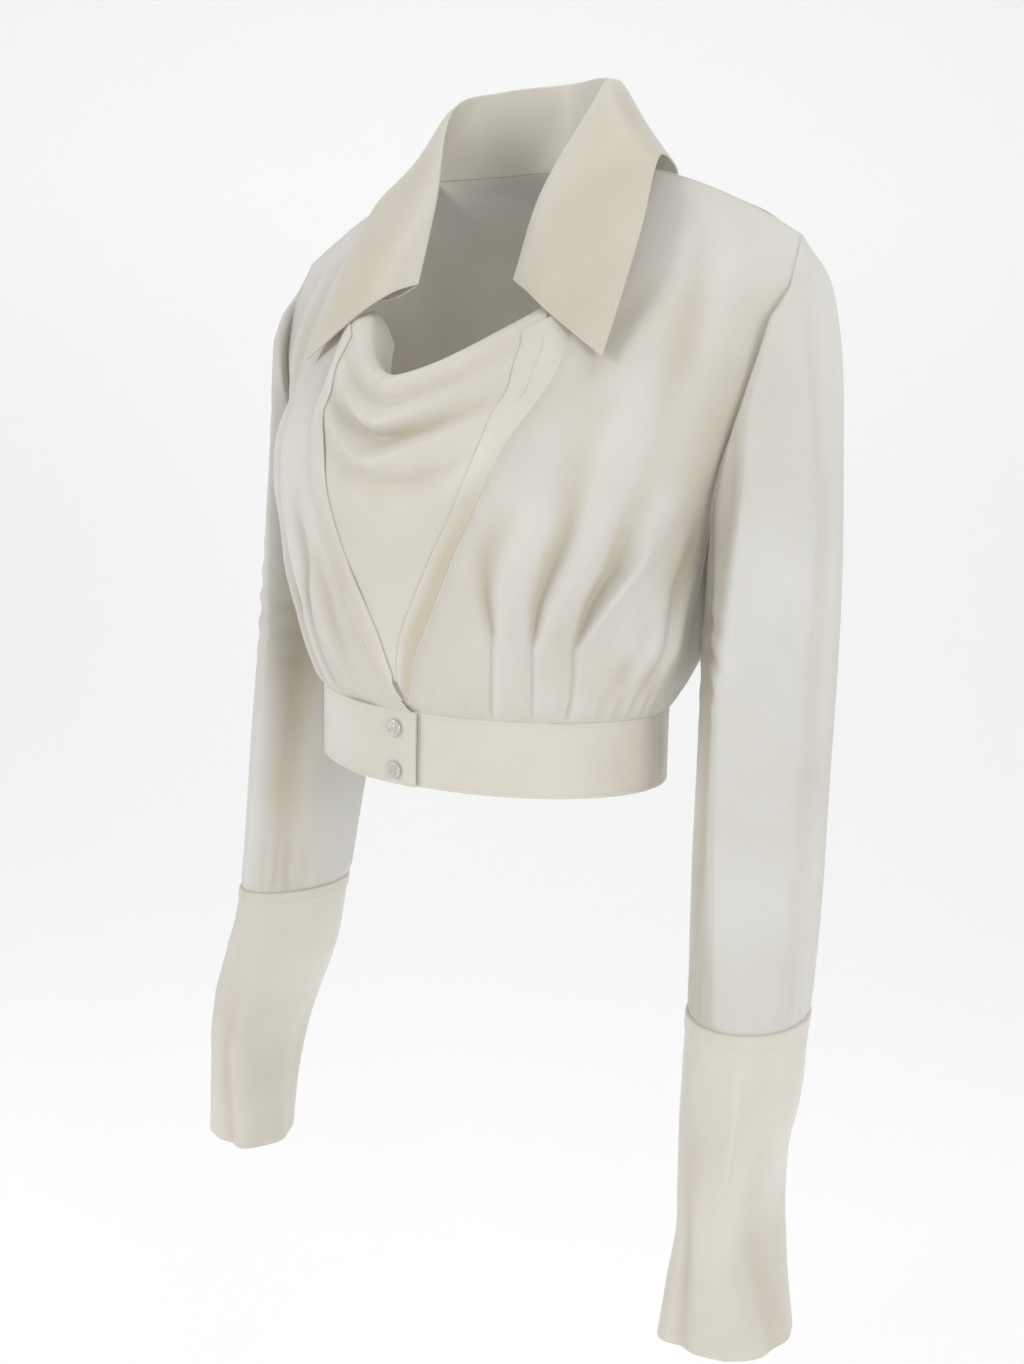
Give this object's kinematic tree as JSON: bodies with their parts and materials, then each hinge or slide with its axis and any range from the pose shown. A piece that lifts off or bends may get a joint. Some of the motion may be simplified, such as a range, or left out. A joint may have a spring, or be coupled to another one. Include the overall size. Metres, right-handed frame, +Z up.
{
  "type": "blouse",
  "caption": "Cropped worn blouse with a draped cowl inset in a deep V, a wide pointed collar, a buttoned waistband and long sleeves with deep flared cuffs.",
  "frame": {"origin": "midway between the two shoulders on the centre line, a little below the side neck points, where the wearer holds the blouse up", "axes": "+X towards the wearer's left, -Y towards the front, +Z up"},
  "size_m": [0.527, 0.2521, 0.8145],
  "materials": {
    "sheer_silk": "matt sheer silk",
    "cream_satin": "soft opaque crepe satin",
    "pearl_button": "pearly gloss"
  },
  "bodies": {
    "root": {"front_left": "sheer_silk", "front_right": "sheer_silk", "back": "sheer_silk", "sleeve_left": "sheer_silk", "sleeve_right": "sheer_silk", "facing_left": "cream_satin", "facing_right": "cream_satin", "cowl_inset": "cream_satin", "collar": "cream_satin", "cuff_left": "cream_satin", "cuff_right": "cream_satin", "waistband_left": "cream_satin", "waistband_right": "cream_satin", "waistband_back": "cream_satin", "button_upper": "pearl_button", "button_lower": "pearl_button"}
  },
  "joints": []
}
